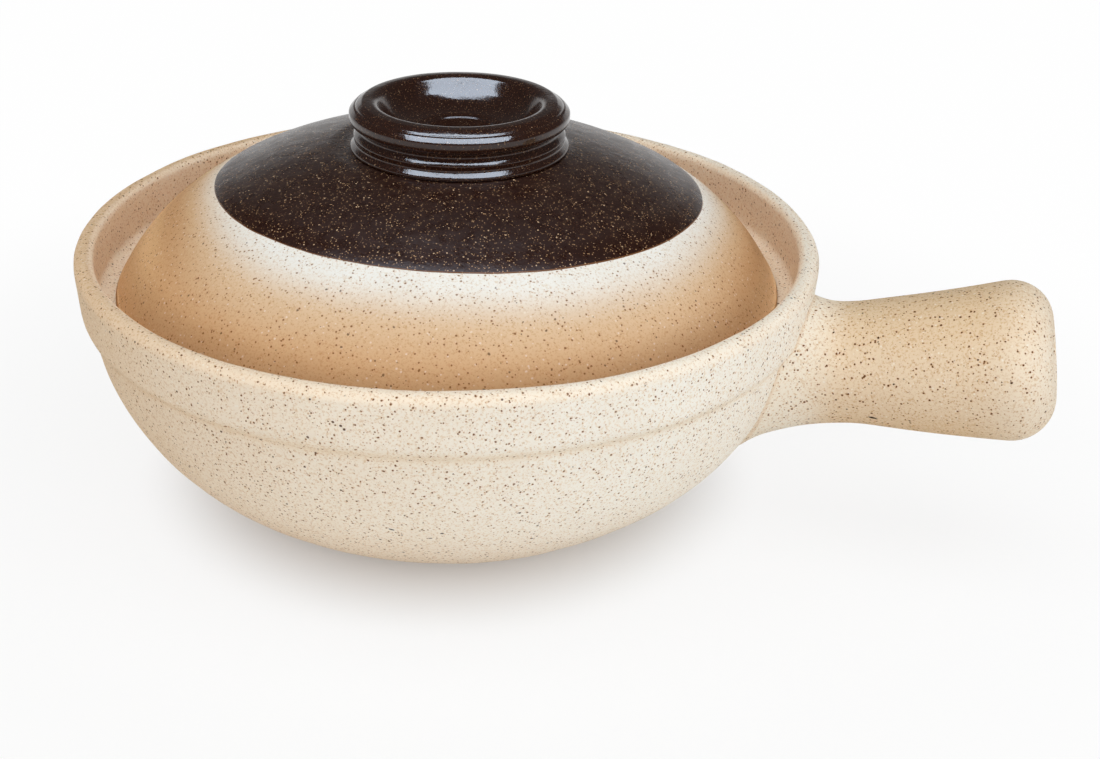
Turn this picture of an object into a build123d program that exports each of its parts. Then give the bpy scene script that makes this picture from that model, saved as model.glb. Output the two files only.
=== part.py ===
from build123d import *
import math
import os

# Single-handled clay pot with a loose lid. Millimetres and degrees.
# The origin is the middle of the flat base, +Z is up and the handle points along +X.

# Bowl outside
rim_radius = 110.0
bowl_height = 82.0
foot_radius = 50.0
foot_slope = 16.3
collar_depth = 14.0
collar_taper = 1.0
step_drop = 5.3
step_depth = 3.0
step_round = 1.6
belly_lean = 5.7
lip_outer_round = 3.1

# Bowl inside
belly_wall = 6.5
floor_thickness = 7.0
floor_round = 14.0
lip_width = 6.0
lip_inner_round = 2.5
gallery_depth = 16.0
gallery_round = 2.5
ledge_width = 13.0
ledge_thickness = 5.0
ledge_round = 1.8
ledge_under_slope = 45.0
liner_thickness = 0.5

# Handle, with its lengths measured along its axis from the rim's radius
handle_drop = 46.8
handle_rise = 10.5
handle_length = 69.2
root_depth = 18.0
root_radius = 23.0
neck_length = 14.0
neck_radius = 17.4
neck_bend = 45.0
grip_taper = 6.8
bore_radius = 8.0

# Rounds at the handle's end, as shares of the clay between the bore and the grip's side
end_share = 0.74
mouth_share = 0.12

# Lid
lid_clearance = 4.6
lid_lean = 25.5
lid_wall = 6.0
lid_edge_round = 2.0
lid_inner_round = 1.0
dome_rise = 41.8
dome_top_slope = 10.0
lid_glaze_thickness = 0.5
dip_drop = 13.2
dip_tilt = 2.2
dip_direction = 69.0

# Knob, set by hand a little off the dome's centre
knob_offset = 4.0
knob_direction = -17.0
knob_foot_radius = 29.6
knob_seat_margin = 1.0
flange_overhang = 2.3
flange_rise = 1.2
flange_round = 0.7
waist_depth = 1.5
waist_rise = 2.2
waist_round = 3.0
ridge_overhang = 0.3
ridge_rise = 2.4
ridge_round = 1.2
groove_depth = 1.9
groove_rise = 1.2
groove_round = 0.45
ring_overhang = 3.2
ring_rise = 0.9
ring_height = 6.5
ring_width = 7.8
dish_wall_run = 6.4
dish_depth = 8.6
dish_round = 14.0
disc_margin = 7.5
disc_depth = 0.5

# Largest round on the knob's ring and disc, as a share of the wall that it is cut from
round_share = 0.48

# Levels and radii worked out from the sizes above
knee_height = bowl_height - collar_depth
knee_radius = rim_radius - collar_taper
notch_height = knee_height - step_drop
notch_radius = knee_radius - step_depth
gallery_radius = rim_radius - lip_width
ledge_height = bowl_height - gallery_depth
ledge_radius = gallery_radius - ledge_width
lid_radius = gallery_radius - lid_clearance
seat_level = ledge_height + dome_rise
seat_radius = knob_foot_radius + knob_offset + knob_seat_margin
flange_radius = knob_foot_radius + flange_overhang
waist_radius = flange_radius - waist_depth
ridge_radius = waist_radius + ridge_overhang
groove_radius = ridge_radius - groove_depth
ring_radius = groove_radius + ring_overhang
dish_radius = ring_radius - ring_width - dish_wall_run
disc_radius = dish_radius - disc_margin


def heading(angle):
    """Unit vector in a section, measured from the radius towards +Z."""
    return Vector(math.cos(math.radians(angle)), math.sin(math.radians(angle)))


def double_arc(start, start_way, end, end_way):
    """Two arcs that leave start along one heading and reach end along another, tangent where they meet."""
    chord = end - start
    both = start_way + end_way
    turn = 1 - start_way.dot(end_way)
    along = chord.dot(both)
    reach = (math.sqrt(along**2 + 2 * turn * chord.dot(chord)) - along) / (2 * turn)
    middle = (start + end + (start_way - end_way) * reach) * 0.5
    first = TangentArc(start, middle, tangent=start_way)
    second = TangentArc(end, middle, tangent=end_way * -1)
    return [first, second]


def moved_double_arc(start, start_way, end, end_way, offset):
    """The same pair of arcs moved sideways by offset, to the left of their heading."""
    new_start = start + Vector(-start_way.Y, start_way.X) * offset
    new_end = end + Vector(-end_way.Y, end_way.X) * offset
    return new_start, new_end, double_arc(new_start, start_way, new_end, end_way)


def turned(section):
    """Section drawn as radius and height, turned about the vertical axis."""
    return revolve(Plane.XZ * section, Axis.Z)


def rounded(section, point, radius):
    """Section with the corner nearest to point rounded."""
    corner = section.vertices().sort_by_distance(Vector(point))[0]
    return fillet(corner, radius)


# Belly of the bowl: its outer line runs from the base to the notch under the collar
belly_line = (
    Vector(foot_radius, 0),
    heading(foot_slope),
    Vector(notch_radius, notch_height),
    heading(90 - belly_lean),
)

# Dome of the lid: its outer line runs from the seat plane to the knob's seat
dome_line = (
    Vector(lid_radius, ledge_height),
    heading(90 + lid_lean),
    Vector(seat_radius, seat_level),
    heading(180 - dome_top_slope),
)

# Place of the knob's axis on the dome
knob_place = Pos(heading(knob_direction) * knob_offset)


def bowl_outer_section():
    """Filled outline of the bowl's outside, with its lip still square inside."""
    foot = Vector(foot_radius, 0)
    notch = Vector(notch_radius, notch_height)
    knee = Vector(knee_radius, knee_height)
    lip = Vector(rim_radius, bowl_height)
    collar_way = knee - lip
    lines = [Line((0, 0), foot)]
    lines += double_arc(*belly_line)
    lines += [TangentArc(knee, notch, tangent=collar_way)]
    lines += [Polyline(knee, lip, (0, bowl_height), (0, 0))]
    section = make_face(lines)
    section = rounded(section, notch, step_round)
    return rounded(section, lip, lip_outer_round)


def belly_hollow_section(inset):
    """Filled outline of the hollow inside the belly, inset from the bowl's outside."""
    low, high, arcs = moved_double_arc(*belly_line, inset)
    level = floor_thickness + inset - belly_wall
    below = low - Vector(0, low.Y)
    lines = [Polyline(high, (0, high.Y), (0, 0), below, low)] + arcs
    floor_block = Pos(0, level / 2) * Rectangle(4 * rim_radius, level)
    section = make_face(lines) - floor_block
    edge = max((v for v in section.vertices() if abs(v.Y - level) < 0.01), key=lambda v: v.X)
    return rounded(section, (edge.X, edge.Y), floor_round)


def ledge_section():
    """Outline of the ledge that carries the lid, from its nose back into the wall."""
    run = rim_radius - ledge_radius
    nose = ledge_height - ledge_thickness
    root = nose - run * math.tan(math.radians(ledge_under_slope))
    points = [(ledge_radius, ledge_height), (rim_radius, ledge_height)]
    points += [(rim_radius, root), (ledge_radius, nose)]
    return make_face(Polyline(*points, close=True))


def gallery_section():
    """Filled outline of the space above the ledge, out to the gallery's wall."""
    block = Rectangle(gallery_radius, 2 * gallery_depth)
    return Pos(gallery_radius / 2, ledge_height + gallery_depth) * block


def make_bowl():
    """Bowl with its belly, collar, lip and the ledge for the lid."""
    throat = Pos(ledge_radius / 2, ledge_height) * Rectangle(ledge_radius, 2 * ledge_thickness)
    hollow = belly_hollow_section(belly_wall) - ledge_section() + throat
    section = bowl_outer_section() - hollow - gallery_section()
    section = rounded(section, (gallery_radius, bowl_height), lip_inner_round)
    section = rounded(section, (gallery_radius, ledge_height), gallery_round)
    section = rounded(section, (ledge_radius, ledge_height), ledge_round)
    section = rounded(section, (ledge_radius, ledge_height - ledge_thickness), ledge_round)
    return turned(section)


def make_liner():
    """Glaze coat on the inside of the belly, up to the underside of the ledge."""
    coat = belly_hollow_section(belly_wall) - belly_hollow_section(belly_wall + liner_thickness)
    return turned(coat - ledge_section())


def make_handle():
    """Hollow stub handle: flared root, narrow neck, widening grip with a rounded open end."""
    root = Vector(root_radius, rim_radius - root_depth)
    neck = Vector(neck_radius, rim_radius + neck_length)
    mouth = Vector(bore_radius, rim_radius + handle_length)
    bore_end = Vector(bore_radius, root.Y)
    grip_way = heading(90 - grip_taper)
    grip = neck + Vector(neck_bend * (1 - grip_way.Y), neck_bend * grip_way.X)
    shoulder = grip + grip_way * ((mouth.Y - grip.Y) / grip_way.Y)
    lines = [TangentArc(neck, root, tangent=(0, -1)), TangentArc(neck, grip, tangent=(0, 1))]
    lines += [Polyline(grip, shoulder, mouth, bore_end, root)]
    end_wall = shoulder.X - bore_radius
    section = rounded(make_face(lines), shoulder, end_share * end_wall)
    section = rounded(section, mouth, mouth_share * end_wall)
    along = (math.cos(math.radians(handle_rise)), 0, math.sin(math.radians(handle_rise)))
    place = Plane(origin=(0, 0, bowl_height - handle_drop), x_dir=(0, 1, 0), z_dir=along)
    return place * turned(section) - turned(bowl_outer_section())


def make_dome():
    """Domed lid with a flat seat ring at its edge and a flat seat for the knob on top."""
    edge, _, top, _ = dome_line
    low, high, arcs = moved_double_arc(*dome_line, lid_wall)
    outline = make_face(double_arc(*dome_line) + [Polyline(top, (0, top.Y), (0, edge.Y), edge)])
    below = Vector(low.X, edge.Y - lid_wall)
    hollow = make_face(arcs + [Polyline(high, (0, high.Y), (0, below.Y), below, low)])
    section = rounded(outline - hollow, edge, lid_edge_round)
    inner = min((v for v in section.vertices() if abs(v.Y - edge.Y) < 0.01), key=lambda v: v.X)
    return turned(rounded(section, (inner.X, inner.Y), lid_inner_round))


def glaze_top():
    """Level of the glaze coat's upper face on the flat seat of the knob."""
    return seat_level + lid_glaze_thickness * math.cos(math.radians(dome_top_slope))


def make_lid_glaze():
    """Glaze coat on the dome, from the knob's foot out to a dip line that leans a little off level."""
    edge, _, top, _ = dome_line
    low, high, arcs = moved_double_arc(*dome_line, -lid_glaze_thickness)
    middle = Polyline(high, (0, high.Y), (0, top.Y), top)
    coat = turned(make_face(double_arc(*dome_line) + arcs + [Line(edge, low), middle]))
    dip_plane = Pos(0, 0, seat_level - dip_drop) * Rot(0, 0, dip_direction) * Rot(0, dip_tilt, 0)
    above = dip_plane * Pos(0, 0, lid_radius) * Box(4 * lid_radius, 4 * lid_radius, 2 * lid_radius)
    knob_foot = knob_place * Pos(0, 0, seat_level) * Cylinder(knob_foot_radius, 2 * lid_wall)
    return (coat & above) - knob_foot


def make_knob():
    """Dished knob: flared flange, ridge, groove, rounded ring and a dish with a sunken disc."""
    foot = glaze_top()
    flange = foot + flange_rise
    waist = flange + waist_rise
    ridge = waist + ridge_rise
    groove = ridge + groove_rise
    ring = groove + ring_rise
    crest = ring + ring_height
    dish_floor = crest - dish_depth
    disc_floor = dish_floor - disc_depth
    under_round = round_share * min(ring_height, 1.8 * ring_overhang)
    ring_round = round_share * min(ring_height, ring_width)
    disc_round = round_share * disc_depth
    corners = [
        (flange_radius, flange, flange_round),
        (waist_radius, waist, waist_round),
        (ridge_radius, ridge, ridge_round),
        (groove_radius, groove, groove_round),
        (ring_radius, ring, under_round),
        (ring_radius, crest, ring_round),
        (ring_radius - ring_width, crest, ring_round),
        (dish_radius, dish_floor, dish_round),
        (disc_radius, dish_floor, disc_round),
        (disc_radius, disc_floor, disc_round),
    ]
    points = [(knob_foot_radius, foot)] + [(x, z) for x, z, _ in corners] + [(0, disc_floor)]
    outline = FilletPolyline(*points, radius=[size for _, _, size in corners])
    inner = [(0, disc_floor), (0, seat_level)]
    base = Polyline(*inner, (knob_foot_radius, seat_level), (knob_foot_radius, foot))
    return knob_place * turned(make_face([outline, base]))


pieces = {
    "pot_bowl": make_bowl(),
    "bowl_liner_glaze": make_liner(),
    "pot_handle": make_handle(),
    "lid_dome": make_dome(),
    "lid_glaze": make_lid_glaze(),
    "lid_knob": make_knob(),
}

os.makedirs("parts", exist_ok=True)
for name, shape in pieces.items():
    export_step(shape, f"parts/{name}.step")
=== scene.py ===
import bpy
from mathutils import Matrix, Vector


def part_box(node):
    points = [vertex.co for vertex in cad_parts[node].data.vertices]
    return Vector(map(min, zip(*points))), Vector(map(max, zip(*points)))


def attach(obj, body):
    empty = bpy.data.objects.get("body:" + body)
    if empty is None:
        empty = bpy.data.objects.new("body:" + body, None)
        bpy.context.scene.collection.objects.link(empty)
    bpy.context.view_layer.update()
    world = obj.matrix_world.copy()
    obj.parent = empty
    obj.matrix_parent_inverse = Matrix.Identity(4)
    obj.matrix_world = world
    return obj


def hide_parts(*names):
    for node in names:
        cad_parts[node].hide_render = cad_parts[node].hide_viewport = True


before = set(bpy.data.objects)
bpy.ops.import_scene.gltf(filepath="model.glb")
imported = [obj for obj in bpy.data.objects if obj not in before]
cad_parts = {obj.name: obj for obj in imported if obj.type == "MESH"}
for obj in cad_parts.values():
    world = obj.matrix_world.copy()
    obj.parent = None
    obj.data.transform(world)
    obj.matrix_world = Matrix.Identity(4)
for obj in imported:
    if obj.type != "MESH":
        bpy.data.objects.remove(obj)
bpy.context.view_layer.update()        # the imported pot: bodies, nodes, joints and record

import math

import bmesh
import bpy
import numpy as np
from mathutils import Matrix, Vector, noise

# Single-handled clay pot with a loose lid. Metres and degrees.
# The origin is the middle of the flat base, +Z is up and the handle points along +X.

# Bowl outside
rim_radius = 0.110
bowl_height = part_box("pot_bowl")[1][2]
foot_radius = 0.050
foot_slope = 16.3
foot_round = 0.0012
collar_depth = 0.014
collar_taper = 0.001
step_drop = 0.0053
step_depth = 0.003
belly_lean = 5.7
lip_outer_round = 0.0031

# Bowl inside
belly_wall = 0.0065
floor_thickness = 0.007
floor_round = 0.014
lip_width = 0.006
lip_inner_round = 0.0025
gallery_depth = 0.016
gallery_round = 0.0025
ledge_width = 0.013
ledge_thickness = 0.005
ledge_round = 0.0018
liner_thickness = 0.0005

# Handle, with its lengths measured along its axis from the rim's radius
handle_drop = 0.0468
handle_rise = 10.5
handle_length = 0.0692
root_depth = 0.018
root_radius = 0.023
neck_length = 0.014
neck_radius = 0.0174
neck_bend = 0.045
grip_taper = 6.8
bore_radius = 0.008
end_share = 0.74
mouth_share = 0.12
slip_width = 0.008
slip_height = 0.00175
root_tuck = 0.0008
handle_sag = 0.0008

# Lid
lid_clearance = 0.0046
lid_lean = 25.5
lid_wall = 0.006
lid_edge_round = 0.002
lid_inner_round = 0.001
dome_rise = 0.0418
dome_top_slope = 10.0
glaze_thickness = 0.0005
glaze_roll = 0.0002
glaze_thinning = 0.004
pool_height = 0.0003
pool_width = 0.0024
dip_drop = 0.0132
dip_tilt = 2.2
dip_direction = 69.0
dip_waviness = 0.0002

# Knob, set by hand a little off the dome's centre
knob_offset = 0.004
knob_direction = -17.0
knob_foot_radius = 0.0296
knob_seat_margin = 0.001
flange_overhang = 0.0023
flange_rise = 0.0012
waist_depth = 0.0015
waist_rise = 0.0022
ridge_overhang = 0.0003
ridge_rise = 0.0024
groove_depth = 0.0019
groove_rise = 0.0012
ring_overhang = 0.0032
ring_rise = 0.0009
ring_height = 0.0065
ring_width = 0.0078
dish_wall_run = 0.0064
dish_depth = 0.0086
dish_round = 0.014
disc_margin = 0.0075
disc_depth = 0.0005
round_share = 0.48

# Edges of the knob as wear and glaze leave them: how far out and up from the turned corner, and the round
flange_under = (-0.0003, 0.0004, 0.0003)
flange_edge = (0.0001, 0.0001, 0.0006)
waist_low = (0.00015, -0.00065, 0.0003)
waist_high = (0.0001, -0.0001, 0.0003)
ridge_low = (0.0002, -0.0012, 0.0004)
ridge_high = (-0.0005, -0.0004, 0.0005)
groove_bed = (0.0, -0.0003, 0.0008)
ring_under = (0.0, 0.0008, 0.0022)
ring_side = (0.0, -0.0031, 0.0009)
throwing_line_out = (-0.0014, -0.0017, 0.0002)
throwing_line_bed = (-0.0019, -0.00168, 0.0002)
throwing_line_in = (-0.0022, -0.0012, 0.0003)
ring_shoulder = (-0.0038, -0.00015, 0.0010)

# How far one piece reaches into its neighbour so that no light shows between them
tuck = 0.0003

# Points round a turned piece
large_turn = 320
small_turn = 256

# Camera, placed by fitting the pot's outline in the 1100 x 759 photo
image_width = 1100
focal_pixels = 1613.1
sensor_width = 36.0
camera_target = Vector((0.01614, 0.0, 0.05934))
camera_distance = 0.48918
camera_azimuth = 18.096
camera_elevation = 24.5375
camera_roll = 0.772
camera_shift = (0.04655, -0.0695)

# Levels and radii worked out from the sizes above
knee_height = bowl_height - collar_depth
knee_radius = rim_radius - collar_taper
notch_height = knee_height - step_drop
notch_radius = knee_radius - step_depth
gallery_radius = rim_radius - lip_width
ledge_height = bowl_height - gallery_depth
ledge_radius = gallery_radius - ledge_width
lid_radius = gallery_radius - lid_clearance
seat_level = ledge_height + dome_rise
seat_radius = knob_foot_radius + knob_offset + knob_seat_margin
flange_radius = knob_foot_radius + flange_overhang
waist_radius = flange_radius - waist_depth
ridge_radius = waist_radius + ridge_overhang
groove_radius = ridge_radius - groove_depth
ring_radius = groove_radius + ring_overhang
dish_radius = ring_radius - ring_width - dish_wall_run
disc_radius = dish_radius - disc_margin


# Lines in a section, as rows of radius and height

def heading(angle):
    """Unit vector in a section, measured from the radius towards +Z."""
    return np.array([math.cos(math.radians(angle)), math.sin(math.radians(angle))])


def leftward(way):
    """The heading a quarter turn to the left of another."""
    return np.array([-way[1], way[0]])


def tangent_arc(start, way, end, count=40):
    """Points on the arc that leaves start along way and ends at end."""
    chord = end - start
    bend = 2 * chord.dot(leftward(way)) / chord.dot(chord)
    sweep = 2 * math.atan2(chord.dot(leftward(way)), chord.dot(way))
    centre = start + leftward(way) / bend
    points = []
    for turn in np.linspace(0, sweep, count):
        spoke = start - centre
        cos, sin = math.cos(turn), math.sin(turn)
        turned_spoke = np.array([cos * spoke[0] - sin * spoke[1], sin * spoke[0] + cos * spoke[1]])
        points.append(centre + turned_spoke)
    return np.array(points)


def double_arc(start, start_way, end, end_way):
    """Two arcs that leave start along one heading and reach end along another, tangent where they meet."""
    chord = end - start
    turn = 1 - start_way.dot(end_way)
    along = chord.dot(start_way + end_way)
    reach = (math.sqrt(along**2 + 2 * turn * chord.dot(chord)) - along) / (2 * turn)
    middle = (start + end + (start_way - end_way) * reach) / 2
    first = tangent_arc(start, start_way, middle)
    second = tangent_arc(end, -end_way, middle)[::-1]
    return np.vstack([first, second[1:]])


def moved_double_arc(start, start_way, end, end_way, offset):
    """The same pair of arcs moved sideways by offset, to the left of their heading."""
    new_start = start + leftward(start_way) * offset
    new_end = end + leftward(end_way) * offset
    return double_arc(new_start, start_way, new_end, end_way)


def rounded_line(corners, arc_step=math.radians(9)):
    """Line through corners given as radius, height and the round at that corner."""
    spots = [np.array(corner[:2], float) for corner in corners]
    line = [spots[0]]
    for before, corner, after, spot in zip(spots, corners[1:-1], spots[2:], spots[1:-1]):
        back = (before - spot) / np.linalg.norm(before - spot)
        onward = (after - spot) / np.linalg.norm(after - spot)
        turn = math.pi - math.acos(np.clip(back.dot(onward), -1, 1))
        if corner[2] == 0 or turn < arc_step / 4:
            line.append(spot)
            continue
        reach = corner[2] * math.tan(turn / 2)
        count = max(3, int(turn / arc_step) + 2)
        line.extend(tangent_arc(spot + back * reach, -back, spot + onward * reach, count))
    return np.array(line + [spots[-1]])


def even_steps(line, step):
    """The same line with its points at even steps."""
    lengths = np.concatenate([[0], np.cumsum(np.linalg.norm(np.diff(line, axis=0), axis=1))])
    count = max(2, int(round(lengths[-1] / step)) + 1)
    at = np.linspace(0, lengths[-1], count)
    return np.column_stack([np.interp(at, lengths, line[:, 0]), np.interp(at, lengths, line[:, 1])])


def softened(line, step=0.0003, reach=0.0005):
    """The line with its sharp turns worn round and its ends kept."""
    fine = even_steps(line, step)
    steps = np.arange(-int(3 * reach / step), int(3 * reach / step) + 1)
    weights = np.exp(-0.5 * (steps * step / reach) ** 2)
    weights /= weights.sum()
    half = len(steps) // 2
    smooth = fine.copy()
    for column in range(2):
        start = 2 * fine[0, column] - fine[half:0:-1, column]
        end = 2 * fine[-1, column] - fine[-2:-half - 2:-1, column]
        smooth[:, column] = np.convolve(np.concatenate([start, fine[:, column], end]), weights, "valid")
    return thinned(smooth)


def thinned(line, turn_step=math.radians(4), longest=0.003):
    """The line without the points that add little turn or length."""
    kept = [line[0]]
    turned_by = 0.0
    for before, spot, after in zip(line[:-2], line[1:-1], line[2:]):
        incoming, outgoing = spot - before, after - spot
        cross = incoming[0] * outgoing[1] - incoming[1] * outgoing[0]
        turned_by += abs(math.atan2(cross, incoming.dot(outgoing)))
        if turned_by > turn_step or np.linalg.norm(spot - kept[-1]) > longest:
            kept.append(spot)
            turned_by = 0.0
    return np.array(kept + [line[-1]])


# Belly of the bowl and dome of the lid

belly_line = (
    np.array([foot_radius, 0.0]),
    heading(foot_slope),
    np.array([notch_radius, notch_height]),
    heading(90 - belly_lean),
)
dome_line = (
    np.array([lid_radius, ledge_height]),
    heading(90 + lid_lean),
    np.array([seat_radius, seat_level]),
    heading(180 - dome_top_slope),
)
dome_curve = double_arc(*dome_line)[::-1]


def dome_height(radius):
    """Height of the dome's outer face at a distance from the pot's axis."""
    return np.interp(radius, dome_curve[:, 0], dome_curve[:, 1])


def bowl_outside():
    """Outer line of the bowl from the base's edge up to the lip, before its rounds."""
    knee = np.array([knee_radius, knee_height])
    notch = np.array([notch_radius, notch_height])
    down = np.array([-collar_taper, -collar_depth])
    step = tangent_arc(knee, down / np.linalg.norm(down), notch, 12)[::-1]
    return np.vstack([double_arc(*belly_line), step[1:]])


bowl_line = softened(bowl_outside(), reach=0.00035)


def bowl_radius(height):
    """Radius of the bowl's outside at a height up to the lip."""
    line = np.vstack([bowl_line, [[rim_radius, bowl_height]]])
    return np.interp(height, line[:, 1], line[:, 0])


def belly_inside(inset):
    """Line of the belly's inner face, inset from the outside, from the floor up to the ledge's underside."""
    level = floor_thickness + inset - belly_wall
    line = moved_double_arc(*belly_line, inset)
    nose = ledge_height - ledge_thickness
    line = np.array([spot for spot in line if spot[1] > level and spot[1] < nose - (spot[0] - ledge_radius)])
    way = line[1] - line[0]
    corner = line[0] - way * (line[0][1] - level) / way[1]
    turn = math.atan2(way[1], way[0])
    clear = [spot for spot in line if np.linalg.norm(spot - corner) > 1.3 * floor_round * math.tan(turn / 2)]
    corners = [(0, level, 0), (*corner, floor_round)] + [(*spot, 0) for spot in clear]
    return rounded_line(corners)


# Meshes

def uneven(mesh, amount, size, seed):
    """Moves the points of a mesh a little in and out, as hand work and firing leave a clay face."""
    mesh.normal_update()
    shifts = []
    for vert in mesh.verts:
        spot = vert.co / size + Vector((seed, -seed, 2 * seed))
        shifts.append(vert.normal * (amount * noise.noise(spot)))
    for vert, shift in zip(mesh.verts, shifts):
        vert.co += shift


def as_object(mesh, name):
    """Object with smooth faces that point outwards."""
    bmesh.ops.recalc_face_normals(mesh, faces=mesh.faces)
    for face in mesh.faces:
        face.smooth = True
    data = bpy.data.meshes.new(name)
    mesh.to_mesh(data)
    mesh.free()
    piece = bpy.data.objects.new(name, data)
    bpy.context.collection.objects.link(piece)
    return piece


def add_rings(mesh, rings, closed=False):
    """Faces between rows of points, where a row of one point is a pole."""
    made = [[mesh.verts.new(spot) for spot in ring] for ring in rings]
    pairs = list(zip(made[:-1], made[1:]))
    if closed:
        pairs.append((made[-1], made[0]))
    for low, high in pairs:
        count = max(len(low), len(high))
        for here in range(count):
            there = (here + 1) % count
            corners = [low[here % len(low)], low[there % len(low)]]
            corners += [high[there % len(high)], high[here % len(high)]]
            mesh.faces.new(list(dict.fromkeys(corners)))


def ring_of(radius, height, count, centre=(0.0, 0.0)):
    """One level ring of points, or a single point on the axis."""
    if radius < 1e-7:
        return [Vector((centre[0], centre[1], height))]
    middle = Vector((centre[0], centre[1], height))
    angles = [2 * math.pi * step / count for step in range(count)]
    return [middle + Vector((math.cos(angle), math.sin(angle), 0)) * radius for angle in angles]


def turned(line, count, centre=(0.0, 0.0)):
    """Mesh of a section that starts and ends on the axis, turned about it."""
    mesh = bmesh.new()
    add_rings(mesh, [ring_of(radius, height, count, centre) for radius, height in line])
    return mesh


def make_bowl():
    """Turned bowl: base, belly, step, collar, lip, gallery, ledge and floor in one skin."""
    foot = [(0, 0, 0), (foot_radius, 0, foot_round)]
    outside = [(*spot, 0) for spot in bowl_line[1:]]
    nose = ledge_height - ledge_thickness
    lip = [
        (rim_radius, bowl_height, lip_outer_round),
        (gallery_radius, bowl_height, lip_inner_round),
        (gallery_radius, ledge_height, gallery_round),
        (ledge_radius, ledge_height, ledge_round),
        (ledge_radius, nose, ledge_round),
    ]
    inside = [(*spot, 0) for spot in belly_inside(belly_wall)[::-1]]
    line = softened(rounded_line(foot + outside + lip + inside), reach=0.0004)
    mesh = turned(line, large_turn)
    uneven(mesh, amount=0.00025, size=0.030, seed=3.1)
    uneven(mesh, amount=0.00010, size=0.009, seed=5.7)
    for vert in mesh.verts:
        vert.co.z = max(vert.co.z, 0.0)
    return as_object(mesh, "turned_bowl")


def make_liner():
    """Glaze coat on the inside of the belly, tucked a little into the clay."""
    face = belly_inside(belly_wall + liner_thickness)
    back = belly_inside(belly_wall - tuck)
    line = np.vstack([thinned(even_steps(face, 0.0005)), thinned(even_steps(back, 0.0005))[::-1]])
    return as_object(turned(line, small_turn), "liner_coat")


def handle_frame():
    """Origin and axes of the handle: a point on the pot's axis, then along, sideways and up."""
    rise = math.radians(handle_rise)
    along = np.array([math.cos(rise), 0, math.sin(rise)])
    upward = np.array([-math.sin(rise), 0, math.cos(rise)])
    return np.array([0, 0, bowl_height - handle_drop]), along, np.array([0.0, 1.0, 0.0]), upward


def wall_distance(origin, along, spoke, radius, depth):
    """How far out along the handle a line beside its axis leaves the bowl's wall, less a depth into it."""
    near, far = rim_radius - 2 * root_depth, rim_radius + neck_length
    for _ in range(40):
        middle = (near + far) / 2
        spot = origin + along * middle + spoke * radius
        inside = math.hypot(spot[0], spot[1]) < bowl_radius(spot[2]) - depth
        near, far = (middle, far) if inside else (near, middle)
    return near


def handle_outside():
    """Lines of the handle as radius and distance: the flared root, then neck, grip, end and bore's mouth."""
    neck = np.array([neck_radius, rim_radius + neck_length])
    root = np.array([root_radius, rim_radius - root_depth])
    end = rim_radius + handle_length
    grip_way = heading(90 - grip_taper)
    grip = neck + neck_bend * np.array([1 - grip_way[1], grip_way[0]])
    shoulder = grip + grip_way * (end - grip[1]) / grip_way[1]
    end_wall = shoulder[0] - bore_radius
    flare = tangent_arc(neck, heading(-90), root)[::-1]
    bend = tangent_arc(neck, heading(90), grip)
    corners = [(*grip, 0), (*shoulder, end_share * end_wall), (bore_radius, end, mouth_share * end_wall)]
    corners += [(bore_radius, end - 2 * mouth_share * end_wall, 0)]
    return flare, np.vstack([bend[1:-1], rounded_line(corners)])


def make_handle(count=160, slip_steps=10, bore_steps=24):
    """Hollow stub handle, with a little slip pressed out where its root meets the bowl's wall."""
    origin, along, side, upward = handle_frame()
    flare, rest = handle_outside()
    outer = thinned(even_steps(rest, 0.0004))
    neck_end = rim_radius + neck_length
    columns, beyond = [], []
    for step in range(count):
        angle = 2 * math.pi * step / count
        spoke = side * math.cos(angle) + upward * math.sin(angle)
        radius = root_radius
        for _ in range(5):
            start = wall_distance(origin, along, spoke, radius, 0)
            radius = np.interp(start, flare[:, 1], flare[:, 0])
        wall = wall_distance(origin, along, spoke, radius + slip_height, root_tuck)
        line = []
        for share in np.linspace(0, 1, slip_steps):
            reach = wall + share * (start + slip_width - wall)
            line.append((np.interp(reach, flare[:, 1], flare[:, 0]) + slip_height * (1 - share) ** 2, reach))
        for share in np.linspace(0, 1, 14)[1:]:
            reach = start + slip_width + share * (neck_end - start - slip_width)
            line.append((np.interp(reach, flare[:, 1], flare[:, 0]), reach))
        line.extend(outer)
        bore_wall = wall_distance(origin, along, spoke, bore_radius, tuck)
        for share in np.linspace(0, 1, bore_steps)[1:]:
            line.append((bore_radius, outer[-1][1] + share * (bore_wall - outer[-1][1])))
        column = []
        for radius, reach in line:
            bow = math.sin(math.pi * np.clip((reach - rim_radius) / handle_length, 0, 1))
            column.append(Vector(origin + along * reach + spoke * radius - upward * handle_sag * bow))
        columns.append(column)
        beyond.append([reach - start for _, reach in line])
    mesh = bmesh.new()
    add_rings(mesh, [list(ring) for ring in zip(*columns)], closed=True)
    uneven(mesh, amount=0.0003, size=0.028, seed=8.3)
    piece = as_object(mesh, "stub_handle")
    joint = piece.data.attributes.new("root_distance", "FLOAT", "POINT")
    joint.data.foreach_set("value", np.array(list(zip(*beyond)), np.float32).ravel())
    return piece


def dip_edge(angle):
    """Distance of the glaze's wavy edge from the pot's axis, in one direction."""
    lean = math.tan(math.radians(dip_tilt)) * math.cos(angle - math.radians(dip_direction))
    radius = lid_radius * 0.7
    for _ in range(30):
        target = seat_level - dip_drop - lean * radius
        radius = float(np.interp(-target, -dome_curve[:, 1], dome_curve[:, 0]))
    ripple = noise.noise(Vector((3 * math.cos(angle), 3 * math.sin(angle), 4.2)))
    ripple += 0.5 * noise.noise(Vector((9 * math.cos(angle), 9 * math.sin(angle), 1.7)))
    return radius + dip_waviness * ripple


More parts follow.
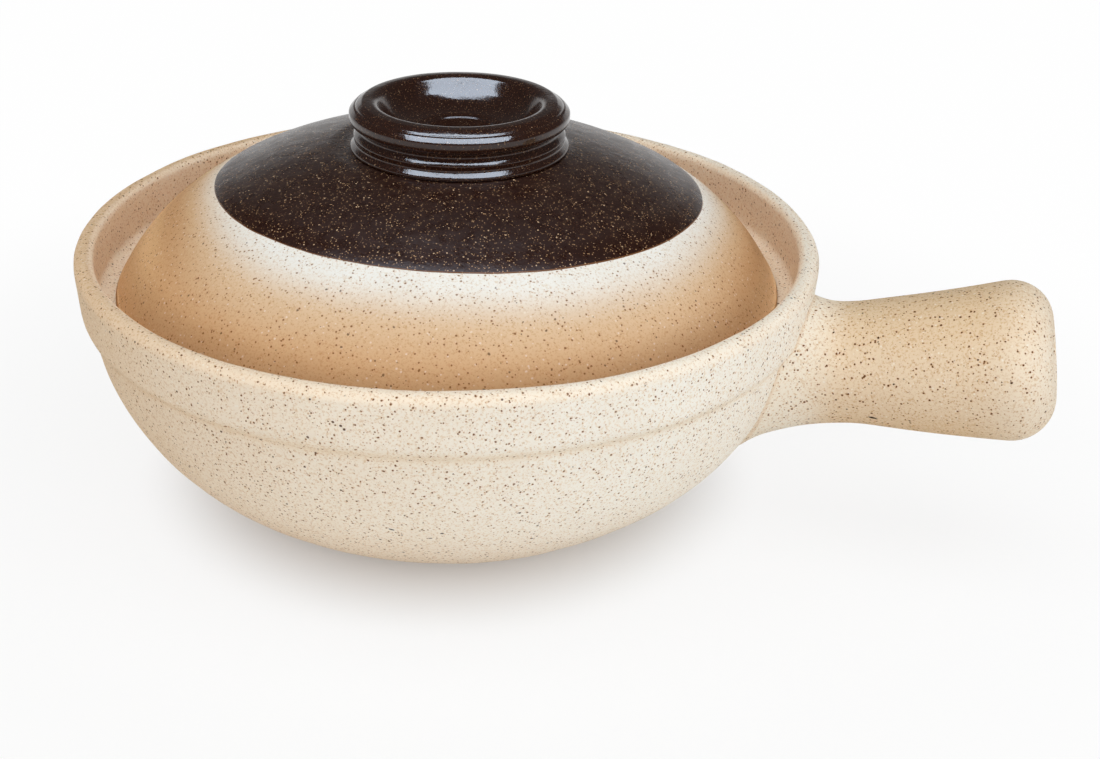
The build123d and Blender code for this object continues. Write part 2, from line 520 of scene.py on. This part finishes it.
def make_lid_shell():
    """Domed clay lid with its seat ring and hollow underside."""
    edge, top = dome_line[0], dome_line[2]
    outer = [(0, top[1], 0)] + [(*spot, 0) for spot in dome_curve[:-1]]
    inner = moved_double_arc(*dome_line, lid_wall)
    foot = np.array([np.interp(ledge_height, inner[:, 1], inner[:, 0]), ledge_height])
    rim = [(*edge, lid_edge_round), (*foot, lid_inner_round)]
    inside = [(*spot, 0) for spot in inner if spot[1] > ledge_height + 2 * lid_inner_round]
    line = rounded_line(outer + rim + inside + [(0, inner[-1][1], 0)])
    mesh = turned(softened(line, reach=0.0003), large_turn)
    uneven(mesh, amount=0.0002, size=0.035, seed=1.9)
    piece = as_object(mesh, "lid_shell")
    band = piece.data.attributes.new("dip_distance", "FLOAT", "POINT")
    for vert, value in zip(piece.data.vertices, band.data):
        value.value = math.hypot(vert.co.x, vert.co.y) - dip_edge(math.atan2(vert.co.y, vert.co.x))
    return piece


def knob_centre():
    """Place of the knob's axis on the dome."""
    return knob_offset * heading(knob_direction)


def coat_thickness(gap, from_knob):
    """Thickness of the glaze coat: thin and rolled at its edge, and pooled under the knob's flange."""
    roll = min(1.0, gap / glaze_roll)
    inward = min(1.0, gap / glaze_thinning)
    thickness = glaze_thickness * (0.3 + 0.7 * inward * (2 - inward)) * math.sqrt(1 - (1 - roll) ** 2)
    pool = np.clip(1 - (from_knob - flange_radius) / pool_width, 0, 1)
    under = np.clip((from_knob - knob_foot_radius) / flange_overhang, 0, 1)
    return thickness + pool_height * pool**2 * under


def make_lid_coat(count=large_turn, pool_rows=20, rows=60):
    """Glaze coat from under the knob's foot out to the dip line, where it ends in a rolled edge."""
    middle = knob_centre()
    edges = [dip_edge(2 * math.pi * step / count) for step in range(count)]
    pool_reach = flange_radius + 1.2 * pool_width - knob_foot_radius
    face, back, spare = [], [], []
    for row in range(pool_rows + rows):
        ring, under, gaps = [], [], []
        for step in range(count):
            angle = 2 * math.pi * step / count
            way = np.array([math.cos(angle), math.sin(angle)])
            start = middle + way * (knob_foot_radius - 2 * tuck)
            end = way * edges[step]
            near = pool_reach / np.linalg.norm(end - start)
            share = near * row / pool_rows
            if row > pool_rows:
                share = 1 - (1 - near) * (1 - (row - pool_rows) / (rows - 1)) ** 2
            spot = start + share * (end - start)
            gap = np.linalg.norm(end - spot)
            height = dome_height(np.linalg.norm(spot))
            ring.append(Vector((*spot, height + coat_thickness(gap, np.linalg.norm(spot - middle)))))
            under.append(Vector((*spot, height - tuck)))
            gaps.append(gap)
        face.append(ring)
        back.append(under)
        spare.append(gaps)
    mesh = bmesh.new()
    add_rings(mesh, face + back[::-1], closed=True)
    piece = as_object(mesh, "lid_coat")
    edge = piece.data.attributes.new("edge_distance", "FLOAT", "POINT")
    values = np.array(spare + spare[::-1], np.float32).ravel()
    edge.data.foreach_set("value", values)
    return piece


def worn(radius, level, edge):
    """Corner of the knob's section, moved out and up from its turned place, with its round."""
    outward, upward, corner_round = edge
    return radius + outward, level + upward, corner_round


def make_knob():
    """Dished knob: flange, ridge, groove, ring with a throwing line, and a dish with a sunken disc."""
    foot = seat_level + glaze_thickness * math.cos(math.radians(dome_top_slope))
    flange = foot + flange_rise
    waist = flange + waist_rise
    ridge = waist + ridge_rise
    groove = ridge + groove_rise
    ring = groove + ring_rise
    crest = ring + ring_height
    dish_floor = crest - dish_depth
    disc_floor = dish_floor - disc_depth
    ring_round = round_share * min(ring_height, ring_width)
    disc_round = round_share * disc_depth
    corners = [
        (0, seat_level, 0),
        (knob_foot_radius, seat_level, 0),
        (knob_foot_radius, foot, 0),
        worn(flange_radius, foot, flange_under),
        worn(flange_radius, flange, flange_edge),
        worn(waist_radius, waist, waist_low),
        worn(waist_radius, waist, waist_high),
        worn(ridge_radius, ridge, ridge_low),
        worn(ridge_radius, ridge, ridge_high),
        worn(groove_radius, groove, groove_bed),
        worn(ring_radius, ring, ring_under),
        worn(ring_radius, crest, ring_side),
        worn(ring_radius, crest, throwing_line_out),
        worn(ring_radius, crest, throwing_line_bed),
        worn(ring_radius, crest, throwing_line_in),
        worn(ring_radius, crest, ring_shoulder),
        (ring_radius - ring_width, crest, ring_round),
        (dish_radius, dish_floor, dish_round),
        (disc_radius, dish_floor, disc_round),
        (disc_radius, disc_floor, disc_round),
        (0, disc_floor, 0),
    ]
    line = softened(rounded_line(corners), step=0.0001, reach=0.00018)
    mesh = turned(line, small_turn, knob_centre())
    uneven(mesh, amount=0.0001, size=0.016, seed=6.4)
    return as_object(mesh, "ring_knob")


# Materials

class Surface:
    """One material: adds nodes to it and joins them."""

    def __init__(self, name):
        self.material = bpy.data.materials.new(name)
        self.material.use_nodes = True
        self.tree = self.material.node_tree
        self.tree.nodes.clear()
        self.shader = self.add("ShaderNodeBsdfPrincipled")
        self.output = self.add("ShaderNodeOutputMaterial")
        self.feed(self.output.inputs["Surface"], self.shader.outputs[0])
        self.place = self.add("ShaderNodeTexCoord").outputs["Object"]

    def add(self, kind, **settings):
        node = self.tree.nodes.new(kind)
        for name, value in settings.items():
            setattr(node, name, value)
        return node

    def feed(self, socket, value):
        if isinstance(value, bpy.types.NodeSocket):
            self.tree.links.new(value, socket)
        else:
            socket.default_value = value

    def set(self, name, value):
        self.feed(self.shader.inputs[name], value)

    def calc(self, operation, first, second=0.0, clamp=False):
        node = self.add("ShaderNodeMath", operation=operation, use_clamp=clamp)
        self.feed(node.inputs[0], first)
        self.feed(node.inputs[1], second)
        return node.outputs[0]

    def ramp(self, value, low, high, start=0.0, end=1.0):
        """The value carried smoothly from one range to another."""
        node = self.add("ShaderNodeMapRange", interpolation_type="SMOOTHSTEP")
        for index, item in enumerate((value, low, high, start, end)):
            self.feed(node.inputs[index], item)
        return node.outputs[0]

    def mix(self, share, first, second, blend="MIX"):
        node = self.add("ShaderNodeMix", data_type="RGBA", blend_type=blend)
        self.feed(node.inputs[0], share)
        for socket, value in ((node.inputs[6], first), (node.inputs[7], second)):
            self.feed(socket, value if isinstance(value, bpy.types.NodeSocket) else (*value, 1.0))
        return node.outputs[2]

    def noise(self, size, detail=2.0, roughness=0.5, distortion=0.0):
        """Noise with features of about one size, from 0 to 1."""
        node = self.add("ShaderNodeTexNoise")
        self.feed(node.inputs["Vector"], self.place)
        self.feed(node.inputs["Scale"], 1.0 / size)
        self.feed(node.inputs["Detail"], detail)
        self.feed(node.inputs["Roughness"], roughness)
        self.feed(node.inputs["Distortion"], distortion)
        return node.outputs[0]

    def rough_place(self, amount=0.0005, size=0.0009):
        """The place shaken a little, so that grains get uneven outlines."""
        node = self.add("ShaderNodeTexNoise")
        self.feed(node.inputs["Vector"], self.place)
        self.feed(node.inputs["Scale"], 1.0 / size)
        shake = self.add("ShaderNodeVectorMath", operation="MULTIPLY_ADD")
        self.feed(shake.inputs[0], node.outputs["Color"])
        self.feed(shake.inputs[1], (amount, amount, amount))
        self.feed(shake.inputs[2], self.place)
        return shake.outputs[0]

    def specks(self, spacing, radius, share, softness=0.4):
        """Grains: 1 inside a grain and 0 outside, in a share of the cells."""
        node = self.add("ShaderNodeTexVoronoi")
        self.feed(node.inputs["Vector"], self.rough_place())
        self.feed(node.inputs["Scale"], 1.0 / spacing)
        split = self.add("ShaderNodeSeparateColor")
        self.feed(split.inputs[0], node.outputs["Color"])
        size = self.ramp(split.outputs[1], 0.0, 1.0, 0.5 * radius / spacing, radius / spacing)
        inner = self.calc("MULTIPLY", size, 1.0 - softness)
        grain = self.ramp(node.outputs["Distance"], inner, size, 1.0, 0.0)
        chosen = self.calc("LESS_THAN", split.outputs[0], share)
        return self.calc("MULTIPLY", grain, chosen)

    def bump(self, height, strength, distance):
        node = self.add("ShaderNodeBump")
        self.feed(node.inputs["Strength"], strength)
        self.feed(node.inputs["Distance"], distance)
        self.feed(node.inputs["Height"], height)
        self.set("Normal", node.outputs[0])

    def axis(self, index):
        split = self.add("ShaderNodeSeparateXYZ")
        self.feed(split.inputs[0], self.place)
        return split.outputs[index]

    def from_axis(self, shift=(0.0, 0.0)):
        """Distance from the pot's upright axis, with the place shifted sideways first."""
        flat = self.vector("MULTIPLY", self.vector("ADD", self.place, (*shift, 0.0)), (1.0, 1.0, 0.0))
        return self.vector("LENGTH", flat, (0.0, 0.0, 0.0))

    def attribute(self, name):
        return self.add("ShaderNodeAttribute", attribute_name=name).outputs["Fac"]

    def vector(self, operation, first, second):
        node = self.add("ShaderNodeVectorMath", operation=operation)
        self.feed(node.inputs[0], first)
        self.feed(node.inputs[1], second)
        return node.outputs["Value" if operation in ("DOT_PRODUCT", "LENGTH") else "Vector"]

    def mark(self, centre, way, outward, length, width):
        """One long grain at a place on the surface: 1 inside it and 0 outside."""
        way, outward = Vector(way).normalized(), Vector(outward).normalized()
        shaken = Vector(centre) + Vector((0.00015, 0.00015, 0.00015))
        offset = self.vector("SUBTRACT", self.rough_place(0.0003), tuple(shaken))
        for line, share in ((way, width / length), (outward, 0.2)):
            squeeze = self.add("ShaderNodeVectorMath", operation="SCALE")
            self.feed(squeeze.inputs[0], tuple(line * (share - 1)))
            self.feed(squeeze.inputs["Scale"], self.vector("DOT_PRODUCT", offset, tuple(line)))
            offset = self.vector("ADD", offset, squeeze.outputs[0])
        away = self.vector("LENGTH", offset, (0.0, 0.0, 0.0))
        return self.ramp(away, 0.25 * width, 0.5 * width, 1.0, 0.0)


iron = (0.10, 0.038, 0.011)
brown = (0.14, 0.046, 0.010)
rust = (0.50, 0.25, 0.095)

# Long dark grains: place, heading, outward direction, length and width
bowl_marks = (
    ((0.0194, -0.0962, 0.0371), (0.86, 0.38, -0.34), (0.15, -0.74, -0.66), 0.0020, 0.0008),
    ((0.0318, -0.0923, 0.0364), (0.95, 0.30, -0.10), (0.24, -0.71, -0.66), 0.0013, 0.0008),
    ((0.0284, -0.0919, 0.0339), (1.00, 0.30, 0.05), (0.22, -0.71, -0.67), 0.0015, 0.0007),
)
handle_marks = (((0.1308, -0.0145, 0.0487), (1.0, 0.03, -0.05), (0.0, -0.8, -0.6), 0.0034, 0.0013),)


def clay_grain(surface, colour, speckle=1.0, marks=()):
    """Grain, iron specks and small pits that all bare clay has, over its own colour."""
    grain = surface.noise(0.0007, 3.0, 0.7)
    cloud = surface.noise(0.016, 2.0, 0.5)
    colour = surface.mix(surface.ramp(cloud, 0.35, 0.75, 0.0, 0.10), colour, (0.84, 0.70, 0.54), "MULTIPLY")
    fleck = surface.ramp(grain, 0.48, 0.70, 0.0, 0.85 * speckle)
    colour = surface.mix(fleck, colour, (0.80, 0.65, 0.48), "MULTIPLY")
    light = surface.specks(0.0014, 0.00042, 0.6, 0.6)
    colour = surface.mix(surface.calc("MULTIPLY", light, 0.4 * speckle), colour, (0.93, 0.89, 0.83))
    small = surface.specks(0.0010, 0.00032, 0.9, 0.6)
    colour = surface.mix(surface.calc("MULTIPLY", small, 0.7 * speckle), colour, rust)
    halo = surface.calc("MULTIPLY", surface.specks(0.0013, 0.00055, 0.9, 0.9), 0.75 * speckle)
    colour = surface.mix(halo, colour, (0.84, 0.55, 0.30), "MULTIPLY")
    dark = surface.specks(0.0013, 0.00037, 0.9, 0.5)
    colour = surface.mix(surface.calc("MULTIPLY", dark, 0.95 * speckle), colour, brown)
    large = surface.specks(0.0030, 0.00046, 0.5, 0.4)
    colour = surface.mix(surface.calc("MULTIPLY", large, 0.95 * speckle), colour, iron)
    for mark in marks:
        colour = surface.mix(surface.mark(*mark), colour, (0.045, 0.025, 0.015))
    pits = surface.calc("ADD", surface.calc("MULTIPLY", dark, -0.4), surface.calc("MULTIPLY", large, -0.6))
    surface.bump(surface.calc("ADD", grain, pits), 0.3, 0.0004)
    surface.set("Base Color", colour)
    surface.set("Roughness", 0.72)
    surface.set("Specular IOR Level", 0.04)
    return surface.material


def bowl_clay():
    """Cream clay of the bowl, tan on its far side, on the lip and in the gallery, with painted shade in the
    crease under the collar.
    """
    surface = Surface("bowl_clay")
    across, height = surface.axis(0), surface.axis(2)
    colour = surface.mix(surface.ramp(across, -0.095, 0.018), (0.78, 0.595, 0.41), (0.94, 0.84, 0.71))
    colour = surface.mix(surface.ramp(across, 0.0, 0.085), colour, (0.96, 0.92, 0.84))
    colour = surface.mix(surface.ramp(height, 0.008, 0.042, 1.0, 0.0), colour, (0.95, 0.89, 0.84), "MULTIPLY")
    lip = surface.ramp(height, bowl_height - 0.0045, bowl_height - 0.0005)
    colour = surface.mix(lip, colour, (0.97, 0.90, 0.83), "MULTIPLY")
    # Painted shade: the crease under the collar's knee is darkened in the colour.
    crease_shade = surface.calc("MULTIPLY", surface.ramp(height, notch_height - 0.0022, notch_height + 0.0004),
                          surface.ramp(height, notch_height + 0.0008, knee_height - 0.001, 1.0, 0.0))
    colour = surface.mix(surface.calc("MULTIPLY", crease_shade, 0.75), colour, (0.93, 0.86, 0.77), "MULTIPLY")
    inside = surface.ramp(surface.from_axis(), gallery_radius + 0.0004, gallery_radius + 0.0022, 1.0, 0.0)
    inside = surface.calc("MULTIPLY", inside, surface.ramp(height, notch_height, notch_height + 0.001))
    under = surface.ramp(surface.from_axis(), ledge_radius + 0.006, ledge_radius + 0.008, 1.0, 0.0)
    under = surface.calc("MULTIPLY", under, surface.ramp(height, bowl_height - 0.028, bowl_height - 0.026))
    inside = surface.calc("MAXIMUM", inside, under)
    colour = surface.mix(inside, colour, (0.95, 0.78, 0.60))
    return clay_grain(surface, colour, 1.0, bowl_marks)


def handle_clay():
    """Cream clay of the handle, tan along the grip's top and underside and paler at both ends."""
    surface = Surface("handle_clay")
    along, height = surface.axis(0), surface.axis(2)
    lift = surface.calc("MULTIPLY", along, math.tan(math.radians(handle_rise)))
    above = surface.calc("SUBTRACT", surface.calc("SUBTRACT", height, lift), bowl_height - handle_drop)
    edge = surface.ramp(surface.calc("ABSOLUTE", above), 0.004, 0.019, 0.65, 0.9)
    root = surface.ramp(along, rim_radius - 0.003, rim_radius + 0.013)
    end = surface.ramp(along, rim_radius + 0.043, rim_radius + 0.074, 1.0, 0.15)
    flame = surface.calc("MULTIPLY", surface.calc("MULTIPLY", root, end), edge)
    colour = surface.mix(flame, (0.93, 0.85, 0.73), (0.75, 0.535, 0.325))
    joint = surface.ramp(surface.attribute("root_distance"), 0.0003, 0.0012, 0.4, 0.0)
    colour = surface.mix(joint, colour, (0.72, 0.50, 0.30))
    return clay_grain(surface, colour, 1.1, handle_marks)


def lid_clay():
    """Clay of the lid: near white at the glaze line and toasted towards its edge, with painted light on its
    low sides, stronger on the right.
    """
    surface = Surface("lid_clay")
    azimuth = math.radians(camera_azimuth)
    forward = surface.vector("DOT_PRODUCT", surface.place, (math.sin(azimuth), -math.cos(azimuth), 0.0))
    rightward = surface.vector("DOT_PRODUCT", surface.place, (math.cos(azimuth), math.sin(azimuth), 0.0))
    side = surface.ramp(forward, 0.012, 0.072, 1.0, 0.0)
    reach = surface.ramp(rightward, -0.06, 0.06, 0.0085, 0.005)
    band = surface.calc("ADD", surface.attribute("dip_distance"), surface.calc("MULTIPLY", side, reach))
    colour = surface.mix(surface.ramp(band, 0.003, 0.0155), (0.86, 0.82, 0.76), (0.72, 0.51, 0.325))
    colour = surface.mix(surface.ramp(band, 0.012, 0.026), colour, (0.63, 0.37, 0.185))
    deep = surface.calc("MULTIPLY", surface.ramp(band, 0.010, 0.021), side)
    colour = surface.mix(surface.calc("MULTIPLY", deep, 0.8), colour, (0.57, 0.31, 0.14))
    # Painted light: the low sides near the gallery are lightened against the wall's shade, and more on the
    # right, where more light falls.
    lit_low_sides = surface.calc("MULTIPLY", surface.ramp(band, 0.021, 0.030), side)
    low = surface.mix(surface.ramp(rightward, 0.0, 0.07), (0.76, 0.47, 0.24), (0.96, 0.68, 0.40))
    colour = surface.mix(lit_low_sides, colour, low)
    return clay_grain(surface, colour, 0.8)


def glaze(name, roughness, gloss, golden, thin_edge):
    """Dark red-brown glaze with fine golden specks and a slightly uneven, shiny face."""
    surface = Surface(name)
    cloud = surface.noise(0.010, 3.0, 0.6)
    colour = surface.mix(cloud, (0.0155, 0.0045, 0.0022), (0.027, 0.0088, 0.0046))
    faint = surface.specks(0.0006, 0.00021, 0.9, 0.7)
    colour = surface.mix(surface.calc("MULTIPLY", faint, 0.5), colour, (0.19, 0.085, 0.038))
    gold = surface.specks(0.0007, 0.00024, 0.75, 0.5)
    colour = surface.mix(surface.calc("MULTIPLY", gold, golden), colour, (0.46, 0.27, 0.14))
    bright = surface.specks(0.0015, 0.00030, 0.65, 0.5)
    colour = surface.mix(surface.calc("MULTIPLY", bright, golden), colour, (0.68, 0.46, 0.28))
    if thin_edge:
        thin = surface.ramp(surface.attribute("edge_distance"), 0.00003, 0.0003, 0.6, 0.0)
        colour = surface.mix(thin, colour, (0.28, 0.12, 0.045))
        gloss = surface.ramp(surface.attribute("edge_distance"), 0.002, 0.009, 0.35 * gloss, gloss)
    surface.set("Base Color", colour)
    rough = surface.noise(0.004, 3.0, 0.6)
    surface.set("Roughness", surface.ramp(rough, 0.2, 0.8, roughness - 0.04, roughness + 0.06))
    surface.set("Specular IOR Level", gloss)
    swell = surface.calc("MULTIPLY", surface.noise(0.007, 1.0, 0.5), 2.0)
    surface.bump(surface.calc("ADD", surface.noise(0.0011, 2.0, 0.5), swell), roughness, 0.0003)
    return surface.material


def liner_glaze():
    """Brown glaze inside the bowl."""
    surface = Surface("liner_glaze")
    cloud = surface.noise(0.020, 3.0, 0.6)
    colour = surface.mix(cloud, (0.10, 0.05, 0.025), (0.19, 0.10, 0.045))
    surface.set("Base Color", surface.mix(surface.specks(0.003, 0.0006, 0.4), colour, (0.05, 0.025, 0.015)))
    surface.set("Roughness", surface.ramp(surface.noise(0.006), 0.2, 0.8, 0.16, 0.28))
    surface.bump(surface.noise(0.003), 0.1, 0.0003)
    return surface.material


# Stage

def camera_axes():
    """Right, up and backward directions of the camera."""
    azimuth, elevation, roll = map(math.radians, (camera_azimuth, camera_elevation, camera_roll))
    front = Vector((math.sin(azimuth), -math.cos(azimuth), 0))
    back = front * math.cos(elevation) + Vector((0, 0, math.sin(elevation)))
    right = Vector((math.cos(azimuth), math.sin(azimuth), 0))
    upward = back.cross(right)
    rolled_right = right * math.cos(roll) + upward * math.sin(roll)
    rolled_up = upward * math.cos(roll) - right * math.sin(roll)
    return rolled_right, rolled_up, back


def make_camera():
    """Camera at the photo's viewing angle."""
    data = bpy.data.cameras.new("camera")
    data.sensor_fit = "HORIZONTAL"
    data.sensor_width = sensor_width
    data.lens = sensor_width * focal_pixels / image_width
    data.shift_x, data.shift_y = camera_shift
    data.clip_start = 0.01
    camera = bpy.data.objects.new("camera", data)
    right, upward, back = camera_axes()
    turn = Matrix((right, upward, back)).transposed().to_4x4()
    camera.matrix_world = Matrix.Translation(camera_target + back * camera_distance) @ turn
    bpy.context.collection.objects.link(camera)
    bpy.context.scene.camera = camera


def make_light(name, place, aim, size, power, colour, diffuse=True, glossy=True):
    """Soft rectangular lamp, placed to the camera's right, front and up of the pot."""
    data = bpy.data.lights.new(name, "AREA")
    data.shape = "RECTANGLE"
    data.size, data.size_y = size
    data.energy = power
    data.color = colour
    light = bpy.data.objects.new(name, data)
    azimuth = math.radians(camera_azimuth)
    right = Vector((math.cos(azimuth), math.sin(azimuth), 0))
    front = Vector((math.sin(azimuth), -math.cos(azimuth), 0))
    light.location = right * place[0] + front * place[1] + Vector((0, 0, place[2]))
    light.rotation_euler = (light.location - Vector(aim)).to_track_quat("Z", "Y").to_euler()
    light.visible_diffuse = diffuse
    light.visible_glossy = glossy
    bpy.context.collection.objects.link(light)


def seen_directly(surface):
    """1 for rays from the camera, from gloss or through glass, and 0 for light that falls on things."""
    path = surface.add("ShaderNodeLightPath")
    rays = surface.calc("ADD", path.outputs["Is Camera Ray"], path.outputs["Is Glossy Ray"], True)
    return surface.calc("ADD", rays, path.outputs["Is Transmission Ray"], True)


def make_floor():
    """Pale floor that shows as white away from the pot and keeps its shadow."""
    mesh = bmesh.new()
    bmesh.ops.create_grid(mesh, x_segments=1, y_segments=1, size=4.0)
    floor = as_object(mesh, "floor")
    surface = Surface("floor")
    # The warm tint is painted light: it stands in for warm light thrown from the clay into the pot's shadow.
    surface.set("Base Color", (0.80, 0.78, 0.75, 1.0))
    surface.set("Roughness", 0.9)
    surface.set("Specular IOR Level", 0.1)
    white = surface.add("ShaderNodeEmission")
    away = surface.from_axis((0.0016, -0.0048))
    near = surface.ramp(away, 0.053, 0.101, 0.16, 0.87)
    share = surface.calc("ADD", near, surface.ramp(away, 0.13, 0.30, 0.0, 0.12))
    blend = surface.add("ShaderNodeMixShader")
    surface.feed(blend.inputs[0], surface.calc("MULTIPLY", share, seen_directly(surface)))
    surface.feed(blend.inputs[1], surface.shader.outputs[0])
    surface.feed(blend.inputs[2], white.outputs[0])
    surface.feed(surface.output.inputs["Surface"], blend.outputs[0])
    floor.data.materials.append(surface.material)


def make_world(overhead, horizon, wall_top=(0.14, 0.30)):
    """Room with white low walls all round and a dark ceiling, which blend over a range of upward slopes."""
    world = bpy.data.worlds.new("studio")
    world.use_nodes = True
    nodes, links = world.node_tree.nodes, world.node_tree.links
    way = nodes.new("ShaderNodeTexCoord")
    split = nodes.new("ShaderNodeSeparateXYZ")
    fade = nodes.new("ShaderNodeMapRange")
    fade.interpolation_type = "SMOOTHSTEP"
    for index, value in enumerate((*wall_top, horizon, overhead)):
        fade.inputs[index + 1].default_value = value
    links.new(way.outputs["Generated"], split.inputs[0])
    links.new(split.outputs[2], fade.inputs[0])
    nodes["Background"].inputs["Color"].default_value = (1.0, 1.0, 1.0, 1.0)
    links.new(fade.outputs[0], nodes["Background"].inputs["Strength"])
    bpy.context.scene.world = world


def dress(piece, material, body, node):
    """Gives a piece its material and its body, and hides the imported part that it stands for."""
    piece.data.materials.append(material)
    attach(piece, body)
    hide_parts(node)


dress(make_bowl(), bowl_clay(), "pot", "pot_bowl")
dress(make_handle(), handle_clay(), "pot", "pot_handle")
dress(make_liner(), liner_glaze(), "pot", "bowl_liner_glaze")
dress(make_lid_shell(), lid_clay(), "lid", "lid_dome")
satin = glaze("dark_glaze", roughness=0.28, gloss=0.33, golden=1.0, thin_edge=True)
dress(make_lid_coat(), satin, "lid", "lid_glaze")
shiny = glaze("knob_glaze", roughness=0.12, gloss=0.50, golden=0.25, thin_edge=False)
dress(make_knob(), shiny, "lid", "lid_knob")

make_camera()
make_floor()
make_world(overhead=0.10, horizon=0.85)
cool = (0.87, 0.95, 1.0)
blue = (0.74, 0.85, 1.0)
warm = (1.0, 0.98, 0.96)
lid_level = (0, 0, 0.08)
bowl_level = (0, 0, 0.06)
key_size = (1.05, 0.42)
side_size = (1.2, 0.8)
make_light("key", (-0.02, 0.20, 0.80), lid_level, key_size, 4.7, cool, glossy=False)
# Behind the key, so that rays of gloss, which miss the key, reach this one
make_light("shine", (-0.02, 0.21, 0.84), lid_level, key_size, 18.0, blue, diffuse=False)
make_light("front", (-0.05, 1.30, 0.45), lid_level, (1.8, 0.6), 3.5, warm, glossy=False)
make_light("left", (-1.0, 0.5, 0.35), bowl_level, side_size, 2.5, warm, glossy=False)
make_light("right", (0.95, 0.65, 0.40), bowl_level, side_size, 4.3, warm, glossy=False)
bpy.context.scene.view_settings.view_transform = "Standard"
